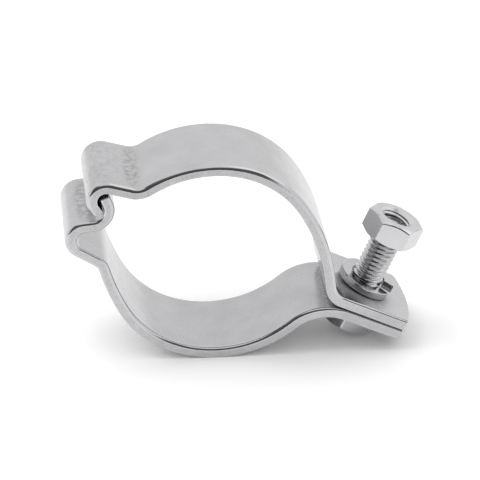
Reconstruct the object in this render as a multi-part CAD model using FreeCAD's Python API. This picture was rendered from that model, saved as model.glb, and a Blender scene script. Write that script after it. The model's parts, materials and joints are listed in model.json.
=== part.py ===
import FreeCAD, Part
import math
import os

# A two-part pipe hanger of bent strip, held shut by one hexagon bolt, a nut and a split spring washer.
# Lengths are millimetres and angles are degrees.
# Origin: the centre of the gripped pipe, half way along the strip width.
# +Y runs along the pipe, +X points to the bolt, +Z is up as the hanger stands on its ring and bolt head.

# strip that both straps are bent from
strip_thickness = 2.75
strip_width = 24.0
strip_edge_break = 0.3

# pipe seat, shared by both straps
seat_radius = 24.3

# tabs that the bolt passes through, which touch at their ends
upper_tab_slope = 25.95
lower_tab_slope = 25.5
tab_gap = 0.15
tab_end_radius = 40.0
tab_hole_radius = 4.6

# upper strap, bent from the tab over the pipe to the hook; every bend is given by its inside radius
upper_seat_start = 32.0
upper_seat_end = 83.5
shoulder_radius = 45.2
shoulder_turn = 24.8
shoulder_straight = 4.13
knee_radius = 3.65
upper_crown_relief = 3.52
upper_crown_turn = 38.6
valley_radius = 4.0
valley_turn = 49.2
valley_straight = 5.2
hook_radius = 2.18
hook_turn = 138.9
hook_finger = 2.0

# lower strap, bent from the tab under the pipe to the finger that the hook closes over
lower_seat_start = -101.0
lower_crown_relief = 3.41
flare_radius = 10.85
relief_radius = 55.8
relief_turn = 12.4
neck_radius = 2.7
neck_turn = 42.0
bulge_radius = 2.3
bulge_turn = 142.0
trough_straight = 2.46
trough_radius = 2.8
finger_heading = 109.9
finger_straight = 2.3

# the hook's end lies in the lower strap's trough
hook_clearance = 0.06
hook_contact_angle = -7.0

# bolt, nut and washer
bolt_to_tab_end = 12.7
most_bolt_lean = 10.0
head_clearance = 0.15
shank_radius = 3.94
shank_length = 25.0
shank_end_chamfer = 0.7
hexagon_flats = 13.0
hexagon_face_radius = 6.2
hexagon_chamfer_angle = 30.0
hexagon_margin = 1.0
head_height = 5.3
head_turn = 10.0
nut_height = 6.25
nut_rise = 14.6
nut_turn = -11.0
nut_bore_radius = 3.98
nut_countersink_radius = 4.4
washer_inner_radius = 4.3
washer_band = 2.8
washer_thickness = 2.0
washer_lift = 1.7
washer_split_start = -40.0
washer_turn = 345.0
washer_to_knee = 0.1

half_thickness = strip_thickness / 2
half_width = strip_width / 2
touch = 0.001
hexagon_corner = hexagon_flats / 2 / math.cos(math.radians(30))
knee_to_bolt = washer_to_knee + washer_band + washer_inner_radius
knee_to_tab_end = knee_to_bolt + bolt_to_tab_end
uncut_tab = knee_to_tab_end + half_width


def at(x, z, y=0.0):
    """A point of the side view, on the plane at depth y."""
    return FreeCAD.Vector(x, y, z)


def ray(angle):
    """The unit direction at this angle in the side view, counter-clockwise from +X."""
    return FreeCAD.Vector(math.cos(math.radians(angle)), 0, math.sin(math.radians(angle)))


def walk(start, heading, bends):
    """Follow a bend table along the strip's middle line and give one row for each straight and bend.

    A bend is (inside radius, turn) with a left turn positive, and a straight is (length,).
    A row is (kind, start, end, heading, middle radius, turn).
    """
    rows = []
    here = start
    for bend in bends:
        if len(bend) == 1:
            there = here + ray(heading) * bend[0]
            rows.append(("straight", here, there, heading, 0, 0))
        else:
            inside_radius, turn = bend
            radius = inside_radius + half_thickness
            centre = here + ray(heading + side_of(turn)) * radius
            there = centre - ray(heading + side_of(turn) + turn) * radius
            rows.append(("bend", here, there, heading, radius, turn))
            heading = heading + turn
        here = there
    return rows


def side_of(turn):
    """The direction of a bend's centre from the strip, relative to the heading."""
    return 90 if turn > 0 else -90


def bend_centre(row):
    """The centre of the bend in a bend-table row."""
    kind, start, end, heading, radius, turn = row
    return start + ray(heading + side_of(turn)) * radius


def face_edge(row, side):
    """The edge of one strip face beside a bend-table row, with side +1 on the left of the heading."""
    kind, start, end, heading, radius, turn = row
    offset = side * half_thickness
    first = start + ray(heading + 90) * offset
    last = end + ray(heading + turn + 90) * offset
    if kind == "straight":
        return Part.makeLine(first, last)
    edge_radius = radius - offset if turn > 0 else radius + offset
    middle = bend_centre(row) - ray(heading + side_of(turn) + turn / 2) * edge_radius
    return Part.Arc(first, middle, last).toShape()


def strip(to_tab, to_hook):
    """A bent strip from two walks that leave one point in opposite directions, with its long edges broken."""
    edges = [face_edge(row, 1) for row in to_hook]
    edges += [face_edge(row, -1) for row in to_tab]
    edges += [face_edge(row, -1) for row in to_hook]
    edges += [face_edge(row, 1) for row in to_tab]
    for rows in (to_tab, to_hook):
        last = rows[-1]
        across = ray(last[3] + last[5] + 90) * half_thickness
        edges.append(Part.makeLine(last[2] + across, last[2] - across))
    outline = Part.Wire(Part.__sortEdges__(edges))
    outline.translate(FreeCAD.Vector(0, -half_width, 0))
    solid = Part.Face(outline).extrude(FreeCAD.Vector(0, strip_width, 0))
    long_edges = []
    for edge in solid.Edges:
        on_side = edge.BoundBox.YLength < touch
        across_strip = abs(edge.Length - strip_thickness) < touch
        if on_side and not across_strip:
            long_edges.append(edge)
    return solid.makeChamfer(strip_edge_break, long_edges)


def trim_tab(strap, slope, end, hole_centre):
    """Cut a tab's rounded end through its middle point, and drill the bolt hole square to the tab."""
    reach = 3 * strip_thickness
    normal = ray(90 - slope)
    disc_foot = end - ray(-slope) * tab_end_radius - normal * reach
    disc = Part.makeCylinder(tab_end_radius, 2 * reach, disc_foot, normal)
    waste = Part.makeBox(tab_end_radius, 2 * strip_width, 2 * reach)
    waste.translate(at(-half_width, -reach, -strip_width))
    waste.rotate(at(0, 0), FreeCAD.Vector(0, 1, 0), slope)
    waste.translate(end)
    hole = Part.makeCylinder(tab_hole_radius, 2 * reach, hole_centre - normal * reach, normal)
    return strap.cut(waste.cut(disc)).cut(hole)


def crossing(point, direction, plane_point, normal):
    """Where a line meets a plane."""
    return point + direction * ((plane_point - point).dot(normal) / direction.dot(normal))


# Upper strap: both walks leave the bolt-side end of its seat arc.
upper_along = ray(-upper_tab_slope)
upper_normal = ray(90 - upper_tab_slope)
upper_start = ray(upper_seat_start) * (seat_radius + half_thickness)
knee_entry = upper_seat_start - 90 - shoulder_turn
upper_to_tab = walk(
    upper_start,
    upper_seat_start - 90,
    [
        (shoulder_radius, -shoulder_turn),
        (shoulder_straight,),
        (knee_radius, -upper_tab_slope - knee_entry),
        (uncut_tab,),
    ],
)
upper_to_hook = walk(
    upper_start,
    upper_seat_start + 90,
    [
        (seat_radius, upper_seat_end - upper_seat_start),
        (seat_radius + upper_crown_relief, upper_crown_turn),
        (valley_radius, -valley_turn),
        (valley_straight,),
        (hook_radius, hook_turn),
        (hook_finger,),
    ],
)
knee_end = upper_to_tab[-1][1]
upper_tab_end = knee_end + upper_along * knee_to_tab_end

# The bolt leaves the upper tab's upper face here.
bolt_exit = knee_end + upper_along * knee_to_bolt + upper_normal * half_thickness

# Lower tab: it lies under the upper one, clear of it by the gap at the end.
lower_normal = ray(90 - lower_tab_slope)
lower_tab_end = upper_tab_end - upper_normal * (half_thickness + tab_gap) - lower_normal * half_thickness
lower_tab_height = lower_tab_end.dot(lower_normal)

# Lower crown: the flare is tangent to it and to the lower tab.
crown_inner_radius = seat_radius + lower_crown_relief
crown_radius = crown_inner_radius + half_thickness
crown_centre = ray(lower_seat_start) * (seat_radius - crown_inner_radius)
flare_middle = flare_radius + half_thickness
flare_rise = lower_tab_height - flare_middle - crown_centre.dot(lower_normal)
flare_start = math.degrees(math.asin(flare_rise / (crown_radius + flare_middle))) - lower_tab_slope
lower_start = crown_centre + ray(flare_start) * crown_radius
lower_to_tab = walk(
    lower_start,
    flare_start + 90,
    [
        (flare_radius, -lower_tab_slope - (flare_start + 90)),
        (uncut_tab,),
    ],
)

# Trough: its centre is placed so that the hook's inner end corner lies in it with the hook's clearance.
hook_end = upper_to_hook[-1]
hook_corner = hook_end[2] + ray(hook_end[3] + 90) * half_thickness
trough_centre = hook_corner - ray(hook_contact_angle) * (trough_radius - hook_clearance)


def lower_end(seat_end, neck_straight, trough_turn):
    """The bend table from the end of the lower seat arc, at this angle, to the finger."""
    return walk(
        ray(seat_end) * (seat_radius + half_thickness),
        seat_end - 90,
        [
            (relief_radius, -relief_turn),
            (neck_radius, neck_turn),
            (neck_straight,),
            (bulge_radius, -bulge_turn),
            (trough_straight,),
            (trough_radius, trough_turn),
            (finger_straight,),
        ],
    )


# The neck's straight sets the trough's distance from the pipe, and the end of the seat arc turns it into place.
trial = lower_end(0, 0, 90)
trial_centre = bend_centre(trial[5])
neck_direction = ray(trial[2][3])
short = trial_centre.dot(neck_direction)
neck_straight = math.sqrt(short ** 2 + trough_centre.Length ** 2 - trial_centre.Length ** 2) - short
reached = trial_centre + neck_direction * neck_straight
lower_seat_end = math.degrees(
    math.atan2(trough_centre.z, trough_centre.x) - math.atan2(reached.z, reached.x)
) % 360 - 360
trough_turn = (finger_heading - lower_seat_end - trial[5][3]) % 360
lower_to_hook = walk(
    lower_start,
    flare_start - 90,
    [
        (crown_inner_radius, lower_seat_start - flare_start),
        (seat_radius, lower_seat_end - lower_seat_start),
    ],
) + lower_end(lower_seat_end, neck_straight, trough_turn)

# Bolt line: the head touches the lower tab with one corner, and leans until the opposite one meets the flare.
head_reach = hexagon_corner * math.cos(math.radians(head_turn))
flare_centre = bend_centre(lower_to_tab[0])


def head_seat(lean):
    """The middle of the head's bearing face when the bolt leans this far from square to the lower tab."""
    drop = half_thickness + touch + head_reach * math.sin(math.radians(lean))
    bearing_plane_point = lower_tab_end - lower_normal * drop
    return crossing(bolt_exit, ray(90 - lower_tab_slope + lean), bearing_plane_point, lower_normal)


too_little = 0.0
enough = most_bolt_lean
while enough - too_little > touch:
    lean = (too_little + enough) / 2
    inner_corner = head_seat(lean) - ray(lean - lower_tab_slope) * head_reach
    if (inner_corner - flare_centre).Length < flare_radius - head_clearance:
        enough = lean
    else:
        too_little = lean
bolt_angle = 90 - lower_tab_slope + enough
bolt_seat = head_seat(enough)
grip = (bolt_exit - bolt_seat).Length

# Straps with their tabs trimmed, each hole centred on the bolt line at the middle of the strip.
upper_hole = crossing(bolt_exit, ray(bolt_angle), upper_tab_end, upper_normal)
lower_hole = crossing(bolt_exit, ray(bolt_angle), lower_tab_end, lower_normal)
upper_strap = trim_tab(strip(upper_to_tab, upper_to_hook), upper_tab_slope, upper_tab_end, upper_hole)
lower_strap = trim_tab(strip(lower_to_tab, lower_to_hook), lower_tab_slope, lower_tab_end, lower_hole)


def to_bolt(shape, height, turn=0.0):
    """Move a shape from its own axis onto the bolt's, this far from the head's bearing face."""
    turned = shape.copy()
    turned.rotate(at(0, 0), FreeCAD.Vector(0, 0, 1), turn)
    turned.rotate(at(0, 0), FreeCAD.Vector(0, 1, 0), 90 - bolt_angle)
    turned.translate(bolt_seat + ray(bolt_angle) * height)
    return turned


def turned_solid(outline):
    """The solid of revolution of a closed outline of (radius, height) corners about the local Z axis."""
    corners = [at(radius, height) for radius, height in outline]
    return Part.Face(Part.makePolygon(corners + corners[:1])).revolve(at(0, 0), FreeCAD.Vector(0, 0, 1), 360)


def hexagon(height, chamfered_bottom):
    """A hexagon prism up from z = 0, with its top corners, and its bottom ones if asked, turned down."""
    corners = [ray(60 * i) * hexagon_corner for i in range(7)]
    face = Part.Face(Part.makePolygon(corners))
    face.rotate(at(0, 0), FreeCAD.Vector(1, 0, 0), 90)
    prism = face.extrude(FreeCAD.Vector(0, 0, height))
    wide = hexagon_corner + hexagon_margin
    depth = (wide - hexagon_face_radius) * math.tan(math.radians(hexagon_chamfer_angle))
    outline = [(0, height), (hexagon_face_radius, height), (wide, height - depth)]
    if chamfered_bottom:
        outline += [(wide, depth), (hexagon_face_radius, 0), (0, 0)]
    else:
        outline += [(wide, 0), (0, 0)]
    return prism.common(turned_solid(outline))


# Bolt: a hexagon head below its bearing face at z = 0, and the shank above it.
head = hexagon(head_height, False)
head.rotate(at(0, 0), FreeCAD.Vector(1, 0, 0), 180)
head.rotate(at(0, 0), FreeCAD.Vector(0, 0, 1), head_turn)
shank = turned_solid(
    [
        (0, -touch),
        (shank_radius, -touch),
        (shank_radius, shank_length - shank_end_chamfer),
        (shank_radius - shank_end_chamfer, shank_length),
        (0, shank_length),
    ]
)
hex_bolt = to_bolt(head.fuse(shank).removeSplitter(), 0)

# Nut: chamfered at both ends, with a countersunk bore.
countersink = nut_countersink_radius - nut_bore_radius
bore = turned_solid(
    [
        (0, -touch),
        (nut_countersink_radius + touch, -touch),
        (nut_bore_radius, countersink),
        (nut_bore_radius, nut_height - countersink),
        (nut_countersink_radius + touch, nut_height + touch),
        (0, nut_height + touch),
    ]
)
hex_nut = to_bolt(hexagon(nut_height, True).cut(bore), grip + nut_rise, nut_turn)

# Spring washer: one left-hand turn of square-cornered bar, which starts flat on the upper tab and climbs.
spine_radius = washer_inner_radius + washer_band / 2
spine_pitch = washer_lift * 360 / washer_turn
spine = Part.makeHelix(spine_pitch, washer_lift, spine_radius, 0, True)
start_point = spine.Edges[0].Vertexes[0].Point
bar_corners = [
    (-washer_band / 2, 0),
    (washer_band / 2, 0),
    (washer_band / 2, washer_thickness),
    (-washer_band / 2, washer_thickness),
    (-washer_band / 2, 0),
]
section = Part.makePolygon([start_point + at(across, up) for across, up in bar_corners])
coil = Part.BRepOffsetAPI.MakePipeShell(Part.Wire(spine.Edges))
coil.setBiNormalMode(FreeCAD.Vector(0, 0, 1))
coil.add(section)
coil.build()
coil.makeSolid()
spring_washer = coil.shape()
spring_washer.rotate(at(0, 0), FreeCAD.Vector(0, 0, 1), washer_split_start)
spring_washer.rotate(at(0, 0), FreeCAD.Vector(0, 1, 0), upper_tab_slope)
washer_middle_height = (washer_thickness + washer_lift) / 2
washer_level = upper_tab_end + upper_normal * (half_thickness + washer_middle_height)
washer_middle = crossing(bolt_exit, ray(bolt_angle), washer_level, upper_normal)
spring_washer.translate(washer_middle - upper_normal * washer_middle_height)

# Standing pose: turn everything about the pipe until the ring's and the head's lowest points are level.
head_foot = to_bolt(Part.Vertex(hexagon_face_radius, 0, -head_height), 0).Point
ring_to_foot = head_foot - crown_centre
foot_distance = ring_to_foot.Length
foot_angle = math.degrees(math.atan2(ring_to_foot.z, ring_to_foot.x))
ring_outer_radius = crown_radius + half_thickness
floor_angle = foot_angle + math.degrees(math.asin(ring_outer_radius / foot_distance))

pieces = {
    "upper_strap": upper_strap,
    "lower_strap": lower_strap,
    "hex_bolt": hex_bolt,
    "hex_nut": hex_nut,
    "spring_washer": spring_washer,
}

os.makedirs("parts", exist_ok=True)
for name, shape in pieces.items():
    solid = shape.Solids[0]
    solid.rotate(at(0, 0), FreeCAD.Vector(0, 1, 0), floor_angle)
    solid.exportStep("parts/" + name + ".step")
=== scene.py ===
import json
import math

import bmesh
import bpy
from mathutils import Matrix, Vector


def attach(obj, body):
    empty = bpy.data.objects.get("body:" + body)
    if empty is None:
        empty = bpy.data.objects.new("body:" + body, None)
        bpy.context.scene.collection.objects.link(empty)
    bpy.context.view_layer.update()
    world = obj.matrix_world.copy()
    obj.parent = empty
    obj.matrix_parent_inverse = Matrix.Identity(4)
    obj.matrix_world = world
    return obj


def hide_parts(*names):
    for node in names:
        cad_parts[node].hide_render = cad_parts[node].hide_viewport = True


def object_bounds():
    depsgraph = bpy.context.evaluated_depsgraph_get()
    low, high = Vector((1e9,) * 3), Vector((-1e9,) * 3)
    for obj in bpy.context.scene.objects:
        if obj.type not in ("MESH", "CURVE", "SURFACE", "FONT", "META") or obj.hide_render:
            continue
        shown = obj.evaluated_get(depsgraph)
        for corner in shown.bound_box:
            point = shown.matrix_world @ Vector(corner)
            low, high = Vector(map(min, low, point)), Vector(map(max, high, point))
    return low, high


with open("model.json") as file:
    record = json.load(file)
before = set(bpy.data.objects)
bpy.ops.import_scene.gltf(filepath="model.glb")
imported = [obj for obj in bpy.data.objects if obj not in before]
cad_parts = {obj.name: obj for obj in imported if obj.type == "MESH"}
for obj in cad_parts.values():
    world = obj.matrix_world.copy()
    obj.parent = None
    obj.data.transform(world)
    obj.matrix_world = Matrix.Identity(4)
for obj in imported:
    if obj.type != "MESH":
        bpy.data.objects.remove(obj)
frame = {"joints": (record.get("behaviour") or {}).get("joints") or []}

cad_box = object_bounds()

# Lengths are millimetres and angles are degrees. Meshes are scaled to metres as they are made.
MM = 0.001

# strip that both straps are bent from
HALF_THICKNESS = 1.375
HALF_WIDTH = 12.0
SEAT_RADIUS = 24.3

# upper strap, from the tab over the pipe to the hook
# a bend is (inside radius, turn) with a left turn positive, and a straight is (length,)
UPPER_SEAT_START = 32.0
UPPER_SEAT_END = 83.5
SHOULDER = (45.2, -24.8)
SHOULDER_STRAIGHT = (4.13,)
KNEE_RADIUS = 3.65
UPPER_TAB_SLOPE = 25.95
UNCUT_UPPER_TAB = (27.0,)
UPPER_CROWN_RELIEF = 3.52
UPPER_CROWN_TURN = 38.6
VALLEY = (4.0, -49.2)
VALLEY_STRAIGHT = (5.2,)
HOOK = (2.18, 138.9)
HOOK_FINGER = (2.0,)

# lower strap, from the tab under the pipe to the finger that the hook closes over
LOWER_SEAT_START = -101.0
LOWER_CROWN_RELIEF = 3.41
LOWER_TAB_SLOPE = 25.5
UNCUT_LOWER_TAB = (22.0,)
FLARE_RADIUS = 10.85
RELIEF = (55.8, -12.4)
NECK = (2.7, 42.0)
BULGE = (2.3, -142.0)
TROUGH_STRAIGHT = (2.46,)
TROUGH_RADIUS = 2.8
FINGER_HEADING = 109.9
FINGER_STRAIGHT = (2.3,)
HOOK_CLEARANCE = 0.06
HOOK_CONTACT_ANGLE = -7.0

# tabs
TAB_GAP = 0.15
TAB_END_RADIUS = 40.0
TAB_END_SWEEP = 30.0
TAB_END_STEP = 0.5
TAB_HOLE_RADIUS = 4.6
TAB_CUT_REACH = 4 * HALF_THICKNESS
BOLT_TO_TAB_END = 12.7

# the long edges are rounded most on one face, and less on the tabs than round the pipe
WIDEST_EDGE = 1.1
LOWER_STRAP_EDGE = 0.92
OTHER_FACE_EDGE = 0.26
CROWN_EDGE = 0.85
NECK_EDGE = 0.5
CROWN_FADES_FROM = -29.0
CROWN_FADES_TO = -25.0
TAB_EDGE = 0.42
END_EDGE = 0.25
ROLL_FADES_FROM = 27.0
ROLL_FADES_TO = 34.0
SIDE_TOLERANCE = 0.05

# thread, whose profile goes from root to crest and back in (share of the pitch, share of the depth)
THREAD_PITCH = 1.25
THREAD_PROFILE = [
    (0.0, 0.0),
    (0.1, 0.0),
    (0.16, 0.08),
    (0.42, 0.9),
    (0.46, 1.0),
    (0.54, 1.0),
    (0.58, 0.9),
    (0.84, 0.08),
    (0.9, 0.0),
]

# bolt
SHANK_LENGTH = 25.0
SHANK_RADIUS = 3.94
SHANK_ROOT_RADIUS = 3.25
SHANK_CHAMFER = 0.75
SHANK_IN_HEAD = 1.0
BOLT_NECK_RADIUS = 3.4
BOLT_NECK_TOP = 0.5
FULL_THREAD_FROM = 1.3
BLANK_MARGIN = 0.01
HEAD_HEIGHT = 5.3
HEAD_TURN = 10.0
HEAD_FOOT_BREAK = 0.05

# hexagon of the bolt's head and the nut
HEX_FLATS = 13.0
HEX_FACE_RADIUS = 6.2
HEX_CHAMFER_ANGLE = 30.0
HEX_EDGE_RADIUS = 0.24

# nut
NUT_HEIGHT = 6.25
NUT_RISE = 14.6
NUT_TURN = -11.0
NUT_THREAD_RADIUS = 4.02
NUT_BORE_RADIUS = 3.33
COUNTERSINK_RADIUS = 4.4
COUNTERSINK_DEPTH = 1.2
COUNTERSINK_MARGIN = 1.0

# spring washer
WASHER_INNER_RADIUS = 4.3
WASHER_BAND = 2.8
WASHER_THICKNESS = 2.0
WASHER_EDGE_RADIUS = 0.22
WASHER_LIFT = 1.7
WASHER_TURN = 345.0
WASHER_SPLIT_START = -40.0
WASHER_TO_KNEE = 0.1
WASHER_CLEARANCE = 0.02

# fineness of the meshes
BEND_STEP = 3.0
TURNED_COLUMNS = 96
THREAD_COLUMNS = 72
HEX_COLUMNS = 72
WASHER_STEPS = 138
CORNER_STEPS = 4
STRAP_ROUND_SEGMENTS = 5
HEX_ROUND_SEGMENTS = 3
FLAT_ANGLE = 0.5
ROUNDED_HEX_ANGLE = 24.0
SMOOTH_ANGLE = 38.0
ROUNDED_STRAP_ANGLE = 40.0

# material slots of every piece
FACE_SLOT = 0
ROUND_SLOT = 1
CUT_SLOT = 2
OTHER_FACE_SLOT = 3
SLOT_COUNT = 4

joints = {joint["name"]: joint for joint in frame["joints"]}


def ray(angle):
    """The unit direction at this angle in the side view, counter-clockwise from +X."""
    return Vector((math.cos(math.radians(angle)), 0.0, math.sin(math.radians(angle))))


def side_angle(direction):
    """The angle of a direction in the side view, counter-clockwise from +X."""
    return math.degrees(math.atan2(direction.z, direction.x))


def around(radius, angle, height):
    """The point at this radius and angle about the Z axis."""
    return Vector((radius * math.cos(math.radians(angle)), radius * math.sin(math.radians(angle)), height))


def spun(angle, axis):
    """A rotation by this angle about a main axis."""
    return Matrix.Rotation(math.radians(angle), 4, axis)


def crossing(point, direction, plane_point, normal):
    """Where a line meets a plane."""
    return point + direction * ((plane_point - point).dot(normal) / direction.dot(normal))


def faded(first, second, place, start, end):
    """A value that goes from first to second as the place goes from start to end."""
    share = min(1, max(0, (place - start) / (end - start)))
    return first + (second - first) * share


def walk(start, heading, bends):
    """Points along a strip's middle line, each with its heading, for a bend table."""
    points = [(start, heading)]
    here = start
    for bend in bends:
        if len(bend) == 1:
            here = here + ray(heading) * bend[0]
            points.append((here, heading))
            continue
        inside_radius, turn = bend
        radius = inside_radius + HALF_THICKNESS
        side = 90 if turn > 0 else -90
        centre = here + ray(heading + side) * radius
        steps = max(2, math.ceil(abs(turn) / BEND_STEP))
        for step in range(1, steps + 1):
            turned = heading + turn * step / steps
            points.append((centre - ray(turned + side) * radius, turned))
        here = points[-1][0]
        heading = heading + turn
    return points


def whole_line(to_tab, to_end):
    """The middle line from the tab to the other end, of two walks that leave one point both ways."""
    return [(point, heading + 180) for point, heading in to_tab[:0:-1]] + to_end


def placed_on(joint_name, along_axis=0.0):
    """The placement of a shape that was made about its own Z axis, on a joint's axis."""
    joint = joints[joint_name]
    axis = Vector(joint["axis"])
    foot = Vector(joint["pos_m"]) / MM + axis * along_axis
    return Matrix.Translation(foot) @ spun(90 - side_angle(axis), "Y")


def loft(rings):
    """A closed bmesh through rings of points, with a face over each end ring of more than one point."""
    build = bmesh.new()
    loops = [[build.verts.new(point) for point in ring] for ring in rings]
    for first, second in zip(loops, loops[1:]):
        count = max(len(first), len(second))
        for corner in range(count):
            after = (corner + 1) % count
            corners = [first[corner % len(first)], first[after % len(first)]]
            corners += [second[after % len(second)], second[corner % len(second)]]
            build.faces.new(list(dict.fromkeys(corners)))
    for loop in (loops[0], loops[-1]):
        if len(loop) > 1:
            build.faces.new(loop)
    return build


def revolve(outline):
    """A closed bmesh turned about Z from (radius, height) corners that run from axis to axis."""
    rings = []
    for radius, height in outline:
        columns = TURNED_COLUMNS if radius else 1
        rings.append([around(radius, 360 * column / columns, height) for column in range(columns)])
    return loft(rings)


def piece_from(name, build, placement=Matrix.Identity(4)):
    """An object from a bmesh in millimetres, placed, turned outwards and scaled to metres."""
    build.transform(Matrix.Scale(MM, 4) @ placement)
    bmesh.ops.recalc_face_normals(build, faces=build.faces)
    mesh = bpy.data.meshes.new(name)
    for _ in range(SLOT_COUNT):
        mesh.materials.append(None)
    build.to_mesh(mesh)
    build.free()
    piece = bpy.data.objects.new(name, mesh)
    bpy.context.scene.collection.objects.link(piece)
    return piece


def settle(piece):
    """Apply a piece's modifiers to its mesh."""
    bpy.context.view_layer.update()
    graph = bpy.context.evaluated_depsgraph_get()
    mesh = bpy.data.meshes.new_from_object(piece.evaluated_get(graph))
    piece.modifiers.clear()
    piece.data = mesh


def combine(piece, tool, operation):
    """Join a piece with a tool piece or cut it with one, which is then removed."""
    modifier = piece.modifiers.new("combine", "BOOLEAN")
    modifier.operation = operation
    modifier.solver = "MANIFOLD"
    modifier.object = tool
    settle(piece)
    bpy.data.objects.remove(tool)


def cut_with(piece, build, placement, operation="DIFFERENCE"):
    """Cut a piece with a tool shape, whose faces go to the slot for what is cut."""
    for face in build.faces:
        face.material_index = CUT_SLOT
    combine(piece, piece_from(piece.name + "_tool", build, placement), operation)


def round_edges(piece, width, segments, least_angle=None):
    """Round the edges sharper than this angle, or those with a weight, in the slot for roundings."""
    piece.data.shade_smooth()
    modifier = piece.modifiers.new("round", "BEVEL")
    modifier.width = width * MM
    modifier.segments = segments
    if least_angle:
        modifier.limit_method = "ANGLE"
        modifier.angle_limit = math.radians(least_angle)
    else:
        modifier.limit_method = "WEIGHT"
    modifier.harden_normals = True
    modifier.use_clamp_overlap = False
    modifier.material = ROUND_SLOT
    settle(piece)


def finish_turned(piece):
    """Smooth a turned or sawn piece between its sharp edges."""
    piece.data.shade_smooth()
    piece.data.set_sharp_from_angle(angle=math.radians(SMOOTH_ANGLE))
    modifier = piece.modifiers.new("flat_faces", "WEIGHTED_NORMAL")
    modifier.keep_sharp = True
    settle(piece)


# frame of the bend tables: the standing hanger is turned from it about the pipe
floor_turn = 90 - UPPER_TAB_SLOPE - side_angle(Vector(joints["washer_turn"]["axis"]))
standing = spun(floor_turn, "Y")
bolt_seat = standing.inverted() @ (Vector(joints["bolt_turn"]["pos_m"]) / MM)
bolt_axis = standing.inverted() @ Vector(joints["bolt_turn"]["axis"])


def bent_strip(middle_line):
    """A closed bmesh of the strip along its middle line, with each face in a slot of its own."""
    rings = []
    for point, heading in middle_line:
        left = ray(heading + 90) * HALF_THICKNESS
        far = Vector((0, HALF_WIDTH, 0))
        rings.append([point + left - far, point + left + far, point - left + far, point - left - far])
    build = loft(rings)
    for face in build.faces:
        face.material_index = CUT_SLOT
    build.faces.ensure_lookup_table()
    for row in range(len(rings) - 1):
        build.faces[4 * row].material_index = OTHER_FACE_SLOT
        build.faces[4 * row + 2].material_index = FACE_SLOT
    return build


def tab_end_waste():
    """A closed bmesh of what is cut off a tab past its rounded end, about the end's middle point."""
    rings = []
    steps = round(TAB_END_SWEEP / TAB_END_STEP)
    for step in range(-steps, steps + 1):
        ring = []
        for share, height in ((1, -1), (2, -1), (2, 1), (1, 1)):
            corner = around(share * TAB_END_RADIUS, step * TAB_END_STEP, height * TAB_CUT_REACH)
            ring.append(corner - Vector((TAB_END_RADIUS, 0, 0)))
        rings.append(ring)
    return loft(rings)


def weigh_edges(piece, edge_width):
    """Give each sharp edge of a strap the share of the widest rounding that it gets."""
    build = bmesh.new()
    build.from_mesh(piece.data)
    weights = build.edges.layers.float.new("bevel_weight_edge")
    for edge in build.edges:
        if edge.calc_face_angle(0) < math.radians(ROUNDED_STRAP_ANGLE):
            continue
        slots = {face.material_index for face in edge.link_faces}
        on_side = all(abs(vert.co.y) > (HALF_WIDTH - SIDE_TOLERANCE) * MM for vert in edge.verts)
        width = END_EDGE
        if len(slots) == 2 and on_side:
            width = edge_width(edge.verts[0].co.x / MM, FACE_SLOT in slots)
        edge[weights] = width / WIDEST_EDGE
    build.to_mesh(piece.data)
    build.free()


def upper_edge_width(place, on_face):
    """The rounding of the upper strap's long edges at this place along X."""
    if on_face:
        return faded(WIDEST_EDGE, TAB_EDGE, place, ROLL_FADES_FROM, ROLL_FADES_TO)
    return faded(OTHER_FACE_EDGE, END_EDGE, place, ROLL_FADES_FROM, ROLL_FADES_TO)


def lower_edge_width(place, on_face):
    """The rounding of the lower strap's long edges at this place along X."""
    at_hook = NECK_EDGE if on_face else CROWN_EDGE
    round_pipe = LOWER_STRAP_EDGE if on_face else OTHER_FACE_EDGE
    before_tab = faded(at_hook, round_pipe, place, CROWN_FADES_FROM, CROWN_FADES_TO)
    return faded(before_tab, END_EDGE, place, ROLL_FADES_FROM, ROLL_FADES_TO)


def strap(name, middle_line, slope, tab_end, hole_centre, edge_width):
    """A bent strip along its middle line, with the tab's end and hole cut, and all its edges rounded."""
    piece = piece_from(name, bent_strip(middle_line), standing)
    cut_with(piece, tab_end_waste(), standing @ Matrix.Translation(tab_end) @ spun(slope, "Y"))
    reach = TAB_CUT_REACH
    drill = revolve([(0, -reach), (TAB_HOLE_RADIUS, -reach), (TAB_HOLE_RADIUS, reach), (0, reach)])
    cut_with(piece, drill, standing @ Matrix.Translation(hole_centre) @ spun(slope, "Y"))
    weigh_edges(piece, edge_width)
    round_edges(piece, WIDEST_EDGE, STRAP_ROUND_SEGMENTS)
    return piece


# upper strap: both walks leave the bolt-side end of its seat arc
knee_turn = 90 - UPPER_SEAT_START - SHOULDER[1] - UPPER_TAB_SLOPE
upper_start = ray(UPPER_SEAT_START) * (SEAT_RADIUS + HALF_THICKNESS)
upper_to_tab = walk(
    upper_start,
    UPPER_SEAT_START - 90,
    [SHOULDER, SHOULDER_STRAIGHT, (KNEE_RADIUS, knee_turn), UNCUT_UPPER_TAB],
)
upper_to_hook = walk(
    upper_start,
    UPPER_SEAT_START + 90,
    [
        (SEAT_RADIUS, UPPER_SEAT_END - UPPER_SEAT_START),
        (SEAT_RADIUS + UPPER_CROWN_RELIEF, UPPER_CROWN_TURN),
        VALLEY,
        VALLEY_STRAIGHT,
        HOOK,
        HOOK_FINGER,
    ],
)
upper_along = ray(-UPPER_TAB_SLOPE)
upper_normal = ray(90 - UPPER_TAB_SLOPE)
knee_end = upper_to_tab[-2][0]
knee_to_bolt = WASHER_TO_KNEE + WASHER_BAND + WASHER_INNER_RADIUS
upper_end = knee_end + upper_along * (knee_to_bolt + BOLT_TO_TAB_END)
upper_strap = strap(
    "upper_strap_bent",
    whole_line(upper_to_tab, upper_to_hook),
    UPPER_TAB_SLOPE,
    upper_end,
    crossing(bolt_seat, bolt_axis, upper_end, upper_normal),
    upper_edge_width,
)

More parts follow.
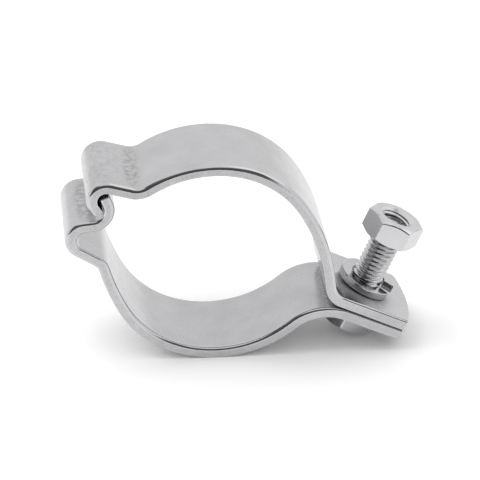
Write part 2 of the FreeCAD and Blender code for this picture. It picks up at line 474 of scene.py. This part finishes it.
# lower tab and flare: the tab lies under the upper one, and the flare is tangent to it and to the crown
lower_normal = ray(90 - LOWER_TAB_SLOPE)
lower_end = upper_end - upper_normal * (HALF_THICKNESS + TAB_GAP) - lower_normal * HALF_THICKNESS
crown_radius = SEAT_RADIUS + LOWER_CROWN_RELIEF
crown_middle = crown_radius + HALF_THICKNESS
crown_centre = ray(LOWER_SEAT_START) * -LOWER_CROWN_RELIEF
flare_middle = FLARE_RADIUS + HALF_THICKNESS
flare_rise = lower_end.dot(lower_normal) - flare_middle - crown_centre.dot(lower_normal)
flare_start = math.degrees(math.asin(flare_rise / (crown_middle + flare_middle))) - LOWER_TAB_SLOPE
flare_turn = -LOWER_TAB_SLOPE - (flare_start + 90)

# trough: the hook's inner end corner lies in it, with the hook's clearance
hook_tip, hook_heading = upper_to_hook[-1]
hook_corner = hook_tip + ray(hook_heading + 90) * HALF_THICKNESS
trough_centre = hook_corner - ray(HOOK_CONTACT_ANGLE) * (TROUGH_RADIUS - HOOK_CLEARANCE)

# the neck's straight sets the trough's distance from the pipe, and the seat arc's end turns it into place
trial_line = walk(ray(0) * (SEAT_RADIUS + HALF_THICKNESS), -90, [RELIEF, NECK, BULGE, TROUGH_STRAIGHT])
trial_entry, trial_heading = trial_line[-1]
trial_centre = trial_entry + ray(trial_heading + 90) * (TROUGH_RADIUS + HALF_THICKNESS)
neck_direction = ray(-90 + RELIEF[1] + NECK[1])
short = trial_centre.dot(neck_direction)
missing = trough_centre.length_squared - trial_centre.length_squared
neck_straight = math.sqrt(short ** 2 + missing) - short
reached = trial_centre + neck_direction * neck_straight
lower_seat_end = (side_angle(trough_centre) - side_angle(reached)) % 360 - 360
trough_turn = (FINGER_HEADING - lower_seat_end - trial_heading) % 360

# lower strap: both walks leave the point where the crown meets the flare
lower_start = crown_centre + ray(flare_start) * crown_middle
lower_to_tab = walk(lower_start, flare_start + 90, [(FLARE_RADIUS, flare_turn), UNCUT_LOWER_TAB])
lower_to_finger = walk(
    lower_start,
    flare_start - 90,
    [
        (crown_radius, LOWER_SEAT_START - flare_start),
        (SEAT_RADIUS, lower_seat_end - LOWER_SEAT_START),
        RELIEF,
        NECK,
        (neck_straight,),
        BULGE,
        TROUGH_STRAIGHT,
        (TROUGH_RADIUS, trough_turn),
        FINGER_STRAIGHT,
    ],
)
lower_strap = strap(
    "lower_strap_bent",
    whole_line(lower_to_tab, lower_to_finger),
    LOWER_TAB_SLOPE,
    lower_end,
    crossing(bolt_seat, bolt_axis, lower_end, lower_normal),
    lower_edge_width,
)


def hexagon(height, both_ends):
    """A closed hexagon prism up from z = 0, with its top corners, or those of both ends, turned down."""
    rings = [[], [], [], []]
    for column in range(HEX_COLUMNS):
        angle = 360 * column / HEX_COLUMNS
        reach = HEX_FLATS / 2 / math.cos(math.radians(angle % 60 - 30))
        drop = (reach - HEX_FACE_RADIUS) * math.tan(math.radians(HEX_CHAMFER_ANGLE))
        foot = HEX_FACE_RADIUS if both_ends else reach - HEAD_FOOT_BREAK
        rise = drop if both_ends else HEAD_FOOT_BREAK
        levels = ((foot, 0), (reach, rise), (reach, height - drop), (HEX_FACE_RADIUS, height))
        for ring, (radius, level) in zip(rings, levels):
            ring.append(around(radius, angle, level))
    build = loft(rings)
    flat = math.radians(FLAT_ANGLE)
    bmesh.ops.dissolve_limit(build, angle_limit=flat, verts=build.verts, edges=build.edges)
    return build


def thread(root_radius, crest_radius, bottom, top):
    """A closed right-hand thread about Z, whose rows follow the helix."""
    build = bmesh.new()
    per_turn = len(THREAD_PROFILE)
    turns = math.ceil((top - bottom) / THREAD_PITCH)
    rows = []
    for turn in range(turns + 1):
        for phase, share in THREAD_PROFILE:
            radius = root_radius + (crest_radius - root_radius) * share
            row = []
            for column in range(THREAD_COLUMNS):
                part_turn = column / THREAD_COLUMNS
                height = bottom + THREAD_PITCH * (turn + phase + part_turn)
                row.append(build.verts.new(around(radius, 360 * part_turn, height)))
            rows.append(row)
    last = len(rows) - 1
    for low, high in zip(rows, rows[1:]):
        for column in range(THREAD_COLUMNS - 1):
            build.faces.new((low[column], low[column + 1], high[column + 1], high[column]))
    # the end of each row meets the start of the row one turn above it
    for level in range(last - per_turn):
        low, high = rows[level], rows[level + 1]
        build.faces.new((low[-1], rows[level + per_turn][0], rows[level + per_turn + 1][0], high[-1]))
    foot = rows[0] + [rows[level][0] for level in range(per_turn, 0, -1)]
    cap = rows[last] + [rows[level][-1] for level in range(last - 1, last - per_turn - 1, -1)]
    for loop, height in ((foot, bottom), (cap, top + THREAD_PITCH)):
        centre = build.verts.new((0, 0, height))
        for first, second in zip(loop, loop[1:] + loop[:1]):
            build.faces.new((first, second, centre))
    return build


# bolt: a fully threaded shank with a relieved neck under the hexagon head
on_bolt = placed_on("bolt_turn")
in_head = on_bolt @ spun(HEAD_TURN, "Z") @ spun(180, "X")
bolt = piece_from("hex_bolt_threaded", hexagon(HEAD_HEIGHT, False), in_head)
round_edges(bolt, HEX_EDGE_RADIUS, HEX_ROUND_SEGMENTS, ROUNDED_HEX_ANGLE)
long_thread = thread(SHANK_ROOT_RADIUS, SHANK_RADIUS, -2 * THREAD_PITCH, SHANK_LENGTH + THREAD_PITCH)
shank = piece_from("shank", long_thread, on_bolt)
blank_radius = SHANK_RADIUS + BLANK_MARGIN
blank = [
    (0, -SHANK_IN_HEAD),
    (BOLT_NECK_RADIUS, -SHANK_IN_HEAD),
    (BOLT_NECK_RADIUS, BOLT_NECK_TOP),
    (blank_radius, FULL_THREAD_FROM),
    (blank_radius, SHANK_LENGTH - SHANK_CHAMFER),
    (blank_radius - SHANK_CHAMFER, SHANK_LENGTH),
    (0, SHANK_LENGTH),
]
cut_with(shank, revolve(blank), on_bolt, "INTERSECT")
combine(bolt, shank, "UNION")
finish_turned(bolt)

# nut: its thread is cut in the bolt's frame, in step with the bolt's own
bolt_exit = knee_end + upper_along * knee_to_bolt + upper_normal * HALF_THICKNESS
nut_foot = (bolt_exit - bolt_seat).length + NUT_RISE
on_nut = placed_on("bolt_turn", nut_foot) @ spun(NUT_TURN, "Z")
nut = piece_from("hex_nut_threaded", hexagon(NUT_HEIGHT, True), on_nut)
round_edges(nut, HEX_EDGE_RADIUS, HEX_ROUND_SEGMENTS, ROUNDED_HEX_ANGLE)
below_nut = THREAD_PITCH * (math.floor(nut_foot / THREAD_PITCH) - 2)
above_nut = nut_foot + NUT_HEIGHT + THREAD_PITCH
cut_with(nut, thread(NUT_BORE_RADIUS, NUT_THREAD_RADIUS, below_nut, above_nut), on_bolt)
wide = COUNTERSINK_RADIUS + COUNTERSINK_MARGIN
narrow = COUNTERSINK_RADIUS - COUNTERSINK_DEPTH
countersink = [
    (0, -COUNTERSINK_MARGIN),
    (wide, -COUNTERSINK_MARGIN),
    (narrow, COUNTERSINK_DEPTH),
    (0, COUNTERSINK_DEPTH),
]
upside_down = Matrix.Translation((0, 0, NUT_HEIGHT)) @ spun(180, "X")
for placement in (on_nut, on_nut @ upside_down):
    cut_with(nut, revolve(countersink), placement)
finish_turned(nut)


def washer_section():
    """The outline of the spring washer's bar, with its corners rounded."""
    section = []
    half_band = WASHER_BAND / 2
    for side, level, first_angle in ((1, 1, 0), (-1, 1, 90), (-1, 0, 180), (1, 0, 270)):
        corner = Vector((side * half_band, 0, level * WASHER_THICKNESS))
        arc_centre = corner + Vector((-side, 0, 1 - 2 * level)) * WASHER_EDGE_RADIUS
        for step in range(CORNER_STEPS + 1):
            angle = first_angle + 90 * step / CORNER_STEPS
            section.append(arc_centre + ray(angle) * WASHER_EDGE_RADIUS)
    return section


# spring washer: a left-hand turn of bar
rings = []
for step in range(WASHER_STEPS + 1):
    share = step / WASHER_STEPS
    spine = Vector((WASHER_INNER_RADIUS + WASHER_BAND / 2, 0, WASHER_LIFT * share))
    swing = spun(WASHER_SPLIT_START - WASHER_TURN * share, "Z")
    rings.append([swing @ (spine + corner) for corner in washer_section()])
on_washer = placed_on("washer_turn", WASHER_CLEARANCE - (WASHER_THICKNESS + WASHER_LIFT) / 2)
washer = piece_from("spring_washer_split", loft(rings), on_washer)
finish_turned(washer)

# steel: noise scales are per metre, and a range is where a noise value starts to count and counts in full
BLUE_TINT = 0.01
CLOUD_SCALE = 130
PIT_SCALE = 2600
MARK_NOISE_SCALE = 750
NOISE_RANGE = (0.3, 0.7)
DARK_PIT_RANGE = (0.56, 0.7)
ROUGH_PIT_RANGE = (0.55, 0.75)
MARK_NOISE_RANGE = (0.42, 0.62)
MARK_RANGE = (1.0, 0.55)
ROUGHNESS_SPREAD = 0.05
PIT_ROUGHENING = 0.08
DARK_STEEL = (0.12, 0.12, 0.12, 1)
BUMP_DISTANCE = 0.02

# grain of the surface: (stretch of the noise, scale)
BRUSHED = ((0.25, 4, 0.25), 900)
SAWN = ((1, 1, 1), 1500)
TURNED = ((1, 1, 1), 1200)

# scuffed patches, and patches of painted shade: (centre, reach each way, darkening, roughening)
VALLEY_SCUFF = ((-20.2, 0, 21.6), (2.4, 14, 3.5), 0.42, 0.05)
# painted shade: a broad darker patch over the hook and the finger, with no roughening
HOOK_PAINTED_SHADE = ((-30, 0, 24), (10, 16, 8), 0.16, 0)
NECK_SCUFF = ((-31.4, 0, 12.8), (3.2, 14, 3.0), 0.4, 0.05)
# the washer's imprint on the tab: it is rougher, and its mottled darkening is partly a painted dark
# reflection of the washer
TAB_IMPRINT_AND_PAINTED_REFLECTION = ((39.2, -3.5, -14.2), (11, 9.5, 6), 0.14, 0.34)
SCUFFS_AND_PAINTED_SHADE = (VALLEY_SCUFF, HOOK_PAINTED_SHADE, NECK_SCUFF, TAB_IMPRINT_AND_PAINTED_REFLECTION)


def add_node(tree, kind, inputs, **settings):
    """A new node with these settings, whose inputs take a value or are linked to another node's output."""
    added = tree.nodes.new(kind)
    for setting, value in settings.items():
        setattr(added, setting, value)
    for name, value in inputs.items():
        if isinstance(value, bpy.types.NodeSocket):
            tree.links.new(value, added.inputs[name])
        else:
            added.inputs[name].default_value = value
    return added


def calculated(tree, operation, first, second):
    """The result of a math node on two values."""
    return add_node(tree, "ShaderNodeMath", {0: first, 1: second}, operation=operation).outputs["Value"]


def vector_calculated(tree, operation, first, second, result):
    """The named result of a vector math node on two vectors."""
    added = add_node(tree, "ShaderNodeVectorMath", {0: first, 1: second}, operation=operation)
    return added.outputs[result]


def mixed(tree, first, second, factor, kind="RGBA"):
    """A colour, or another kind of value, that goes from first to second with the factor."""
    inputs = {"A": first, "B": second, "Factor": factor}
    return add_node(tree, "ShaderNodeMix", inputs, data_type=kind).outputs["Result"]


def ranged(tree, value, limits, to_low, to_high, interpolation="LINEAR"):
    """A value that goes from to_low to to_high as the first value goes from one limit to the other."""
    low, high = limits
    inputs = {"Value": value, "From Min": low, "From Max": high, "To Min": to_low, "To Max": to_high}
    return add_node(tree, "ShaderNodeMapRange", inputs, interpolation_type=interpolation).outputs["Result"]


def noise(tree, place, scale, detail, stretch=(1, 1, 1)):
    """A noise value at this place."""
    stretched = add_node(tree, "ShaderNodeMapping", {"Vector": place, "Scale": stretch}).outputs["Vector"]
    inputs = {"Vector": stretched, "Scale": scale, "Detail": detail}
    return add_node(tree, "ShaderNodeTexNoise", inputs).outputs["Fac"]


def inside_mark(tree, place, centre, reach):
    """A factor that is 1 in the middle of a mark and 0 outside it."""
    away = vector_calculated(tree, "SUBTRACT", place, Vector(centre) * MM, "Vector")
    share = vector_calculated(tree, "DIVIDE", away, Vector(reach) * MM, "Vector")
    size = add_node(tree, "ShaderNodeVectorMath", {0: share}, operation="LENGTH").outputs["Value"]
    return ranged(tree, size, MARK_RANGE, 0, 1)


def steel(name, grain, grey, roughness, bump, mottle=0.06, speckle=0.0, marks=()):
    """A stainless steel whose colour, roughness and surface vary with its grain and fine pits."""
    material = bpy.data.materials.new(name)
    material.use_nodes = True
    tree = material.node_tree
    shader = tree.nodes["Principled BSDF"]
    shader.inputs["Metallic"].default_value = 1.0
    place = add_node(tree, "ShaderNodeTexCoord", {}).outputs["Object"]
    stretch, grain_scale = grain
    streaks = noise(tree, place, grain_scale, detail=3, stretch=stretch)
    pits = noise(tree, place, PIT_SCALE, detail=2)
    mark_noise = noise(tree, place, MARK_NOISE_SCALE, detail=5)
    clouds = noise(tree, place, CLOUD_SCALE, detail=4)

    darkenings = [ranged(tree, pits, DARK_PIT_RANGE, 0, speckle)]
    roughenings = [ranged(tree, pits, ROUGH_PIT_RANGE, 0, PIT_ROUGHENING)]
    # each mark darkens and roughens a patch; the marks are scuffs and patches of painted shade
    for centre, reach, darkening, roughening in marks:
        near = inside_mark(tree, place, centre, reach)
        mark_darkening = ranged(tree, mark_noise, MARK_NOISE_RANGE, 0, darkening)
        darkenings.append(calculated(tree, "MULTIPLY", near, mark_darkening))
        roughenings.append(ranged(tree, near, (0, 1), 0, roughening))

    colour = (grey, grey, grey + BLUE_TINT)
    dark = [channel * (1 - mottle) for channel in colour] + [1]
    light = [min(1, channel * (1 + mottle)) for channel in colour] + [1]
    tint = mixed(tree, dark, light, ranged(tree, clouds, NOISE_RANGE, 0, 1))
    for darkening in darkenings:
        tint = mixed(tree, tint, DARK_STEEL, darkening)
    tree.links.new(tint, shader.inputs["Base Color"])

    rough = ranged(tree, streaks, NOISE_RANGE, roughness - ROUGHNESS_SPREAD, roughness + ROUGHNESS_SPREAD)
    for roughening in roughenings:
        rough = calculated(tree, "ADD", rough, roughening)
    tree.links.new(rough, shader.inputs["Roughness"])

    relief = calculated(tree, "ADD", streaks, pits)
    inputs = {"Height": relief, "Strength": bump, "Distance": BUMP_DISTANCE * MM}
    tree.links.new(add_node(tree, "ShaderNodeBump", inputs).outputs["Normal"], shader.inputs["Normal"])
    return material


strap_face = steel("strap_face_steel", BRUSHED, grey=0.515, roughness=0.24, bump=0.25, marks=SCUFFS_AND_PAINTED_SHADE)
# the lower strap's face is the upper strap's steel painted darker: painted shade, as it gets less light
# from above
lower_face_painted_shade = steel("lower_strap_face_steel_painted_shade", BRUSHED, grey=0.48, roughness=0.24, bump=0.25, marks=SCUFFS_AND_PAINTED_SHADE)
strap_round = steel("strap_round_steel", BRUSHED, grey=0.54, roughness=0.13, bump=0.1)
strap_cut = steel("strap_cut_steel", SAWN, grey=0.52, roughness=0.34, bump=0.5, mottle=0.08, speckle=0.3)
bright = steel("fastener_steel_bright", TURNED, grey=0.58, roughness=0.12, bump=0.12)
# the bolt and the washer get the nut's steel painted darker: painted shade under the tab and round the
# washer
painted_shade_copy = steel("fastener_steel_painted_shade", TURNED, grey=0.51, roughness=0.14, bump=0.12)
# the nut's thread and countersinks get its steel painted lighter: painted light in the countersinks and
# bore
nut_thread_painted_light = steel("nut_thread_steel_painted_light", TURNED, grey=0.68, roughness=0.32, bump=0.12)
bright_round = steel("fastener_steel_round", TURNED, grey=0.6, roughness=0.1, bump=0.08)

# each piece's materials are in the order of the slots
for piece, body, materials, slot in (
    (upper_strap, "upper_strap", (strap_face, strap_round, strap_cut, strap_face), "strap_steel"),
    (lower_strap, "lower_strap", (lower_face_painted_shade, strap_round, strap_cut, strap_face), "strap_steel"),
    (bolt, "hex_bolt", (painted_shade_copy, bright_round, painted_shade_copy, painted_shade_copy), "fastener_steel"),
    (nut, "hex_nut", (bright, bright_round, nut_thread_painted_light, bright), "fastener_steel"),
    (washer, "spring_washer", (painted_shade_copy, bright_round, painted_shade_copy, painted_shade_copy), "fastener_steel"),
):
    for index, material in enumerate(materials):
        piece.data.materials[index] = material
    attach(piece, body)
    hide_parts(body)

# camera at the photograph's place and angle
CAMERA_PLACE = Vector((-62.593515, -574.385, 323.472343))
CAMERA_RIGHT = Vector((0.993799, -0.10914, 0.021254))
CAMERA_UP = Vector((0.034873, 0.48744, 0.87246))
SENSOR_WIDTH = 36
LENS = 198.75
NEAREST_SEEN = 50
FARTHEST_SEEN = 20000
camera_data = bpy.data.cameras.new("camera")
camera_data.sensor_width = SENSOR_WIDTH
camera_data.lens = LENS
camera_data.clip_start = NEAREST_SEEN * MM
camera_data.clip_end = FARTHEST_SEEN * MM
camera = bpy.data.objects.new("camera", camera_data)
bpy.context.scene.collection.objects.link(camera)
turned = Matrix((CAMERA_RIGHT, CAMERA_UP, CAMERA_RIGHT.cross(CAMERA_UP))).transposed()
camera.matrix_world = Matrix.Translation(CAMERA_PLACE * MM) @ turned.to_4x4()
bpy.context.scene.camera = camera


def sheet(name, corners):
    """A flat stage piece with these corners."""
    build = bmesh.new()
    build.faces.new([build.verts.new(corner) for corner in corners])
    piece = piece_from(name, build)
    return piece


def paint(name, grey):
    """A plain material of one grey."""
    material = bpy.data.materials.new(name)
    material.use_nodes = True
    material.node_tree.nodes["Principled BSDF"].inputs["Base Color"].default_value = (grey, grey, grey, 1)
    return material


# floor
HALF_FLOOR = 4000
FLOOR_GREY = 0.95
FLOOR_ROUGHNESS = 0.9
FLOOR_SHEEN = 0.1
FLOOR_LIFT = 0.14
floor_level = cad_box[0].z / MM
quarters = ((-1, -1), (1, -1), (1, 1), (-1, 1))
floor = sheet("floor", [(x * HALF_FLOOR, y * HALF_FLOOR, floor_level) for x, y in quarters])
if floor.data.polygons[0].normal.z < 0:
    floor.data.flip_normals()
floor_paint = paint("floor_paint", FLOOR_GREY)
floor.data.materials[0] = floor_paint
floor_tree = floor_paint.node_tree
floor_shader = floor_tree.nodes["Principled BSDF"]
floor_shader.inputs["Roughness"].default_value = FLOOR_ROUGHNESS
floor_shader.inputs["Specular IOR Level"].default_value = FLOOR_SHEEN

# what sees the floor directly or in metal or glass sees it whiter, with the object's shadow kept
seen_by = add_node(floor_tree, "ShaderNodeLightPath", {}).outputs
seen = seen_by["Is Camera Ray"]
for other in ("Is Glossy Ray", "Is Transmission Ray"):
    seen = calculated(floor_tree, "MAXIMUM", seen, seen_by[other])
extra_colour = mixed(floor_tree, (0, 0, 0, 1), (FLOOR_LIFT, FLOOR_LIFT, FLOOR_LIFT, 1), seen)
extra = add_node(floor_tree, "ShaderNodeBsdfDiffuse", {"Color": extra_colour}).outputs["BSDF"]
both = add_node(floor_tree, "ShaderNodeAddShader", {0: floor_shader.outputs["BSDF"], 1: extra})
floor_tree.links.new(both.outputs["Shader"], floor_tree.nodes["Material Output"].inputs["Surface"])

# a dark card in front of the floor, which only shows in the metal
CARD_LEFT = -300
CARD_RIGHT = 100
CARD_PLACE = -200
CARD_HEIGHT = 70
CARD_GREY = 0.04
card_corners = []
for x, rise in ((CARD_LEFT, 0), (CARD_RIGHT, 0), (CARD_RIGHT, CARD_HEIGHT), (CARD_LEFT, CARD_HEIGHT)):
    card_corners.append((x, CARD_PLACE, floor_level + rise))
card = sheet("card", card_corners)
card.visible_camera = False
card.visible_diffuse = False
card.visible_shadow = False
card.data.materials[0] = paint("card_paint", CARD_GREY)

# world: a pale studio that is dark low down on the camera's side
world = bpy.data.worlds.new("studio")
bpy.context.scene.world = world
world.use_nodes = True
sky = world.node_tree
background = sky.nodes["Background"]
background.inputs["Color"].default_value = (1, 1, 1, 1)
toward_world = add_node(sky, "ShaderNodeTexCoord", {}).outputs["Generated"]


def zone(toward, limits, outside, inside):
    """A factor that goes from outside to inside as the cosine to this direction passes the limits."""
    nearness = vector_calculated(sky, "DOT_PRODUCT", toward_world, Vector(toward).normalized(), "Value")
    return ranged(sky, nearness, limits, outside, inside, "SMOOTHSTEP")


# what the metal sees
PALE_ROOM = 1.0
DARK_ROOM = 0.12
in_front = zone((-0.15, -0.68, 0.72), (0.53, 0.67), outside=0, inside=1)
low_down = zone((0, 0, 1), (0.72, 0.86), outside=1, inside=0)
upper_right = zone((0.62, 0.07, 0.78), (0.85, 0.96), outside=1.0, inside=1.4)
darkened = mixed(sky, PALE_ROOM, DARK_ROOM, calculated(sky, "MULTIPLY", in_front, low_down), "FLOAT")
in_metal = calculated(sky, "MULTIPLY", darkened, upper_right)

# what lights the floor
from_above = zone((0, 0, 1), (0.0, 0.9), outside=0.5, inside=1.0)
from_the_left = zone((-0.9, 0, 0.4), (-0.6, 0.6), outside=0.8, inside=1.0)
on_floor = calculated(sky, "MULTIPLY", from_above, from_the_left)
diffuse_ray = add_node(sky, "ShaderNodeLightPath", {}).outputs["Is Diffuse Ray"]
sky.links.new(mixed(sky, in_metal, on_floor, diffuse_ray, "FLOAT"), background.inputs["Strength"])

# one large soft lamp at the upper left, which the metal doesn't show
LAMP_SIZE = 900
LAMP_WATTS = 4.4
LAMP_PLACE = Vector((-550, 100, 1000))
LAMP_TILT = -29
lamp_data = bpy.data.lights.new("softbox", "AREA")
lamp_data.shape = "DISK"
lamp_data.size = LAMP_SIZE * MM
lamp_data.energy = LAMP_WATTS
lamp = bpy.data.objects.new("softbox", lamp_data)
lamp.location = LAMP_PLACE * MM
lamp.rotation_euler = (0, math.radians(LAMP_TILT), 0)
lamp.visible_glossy = False
bpy.context.scene.collection.objects.link(lamp)

bpy.context.scene.view_settings.view_transform = "Standard"
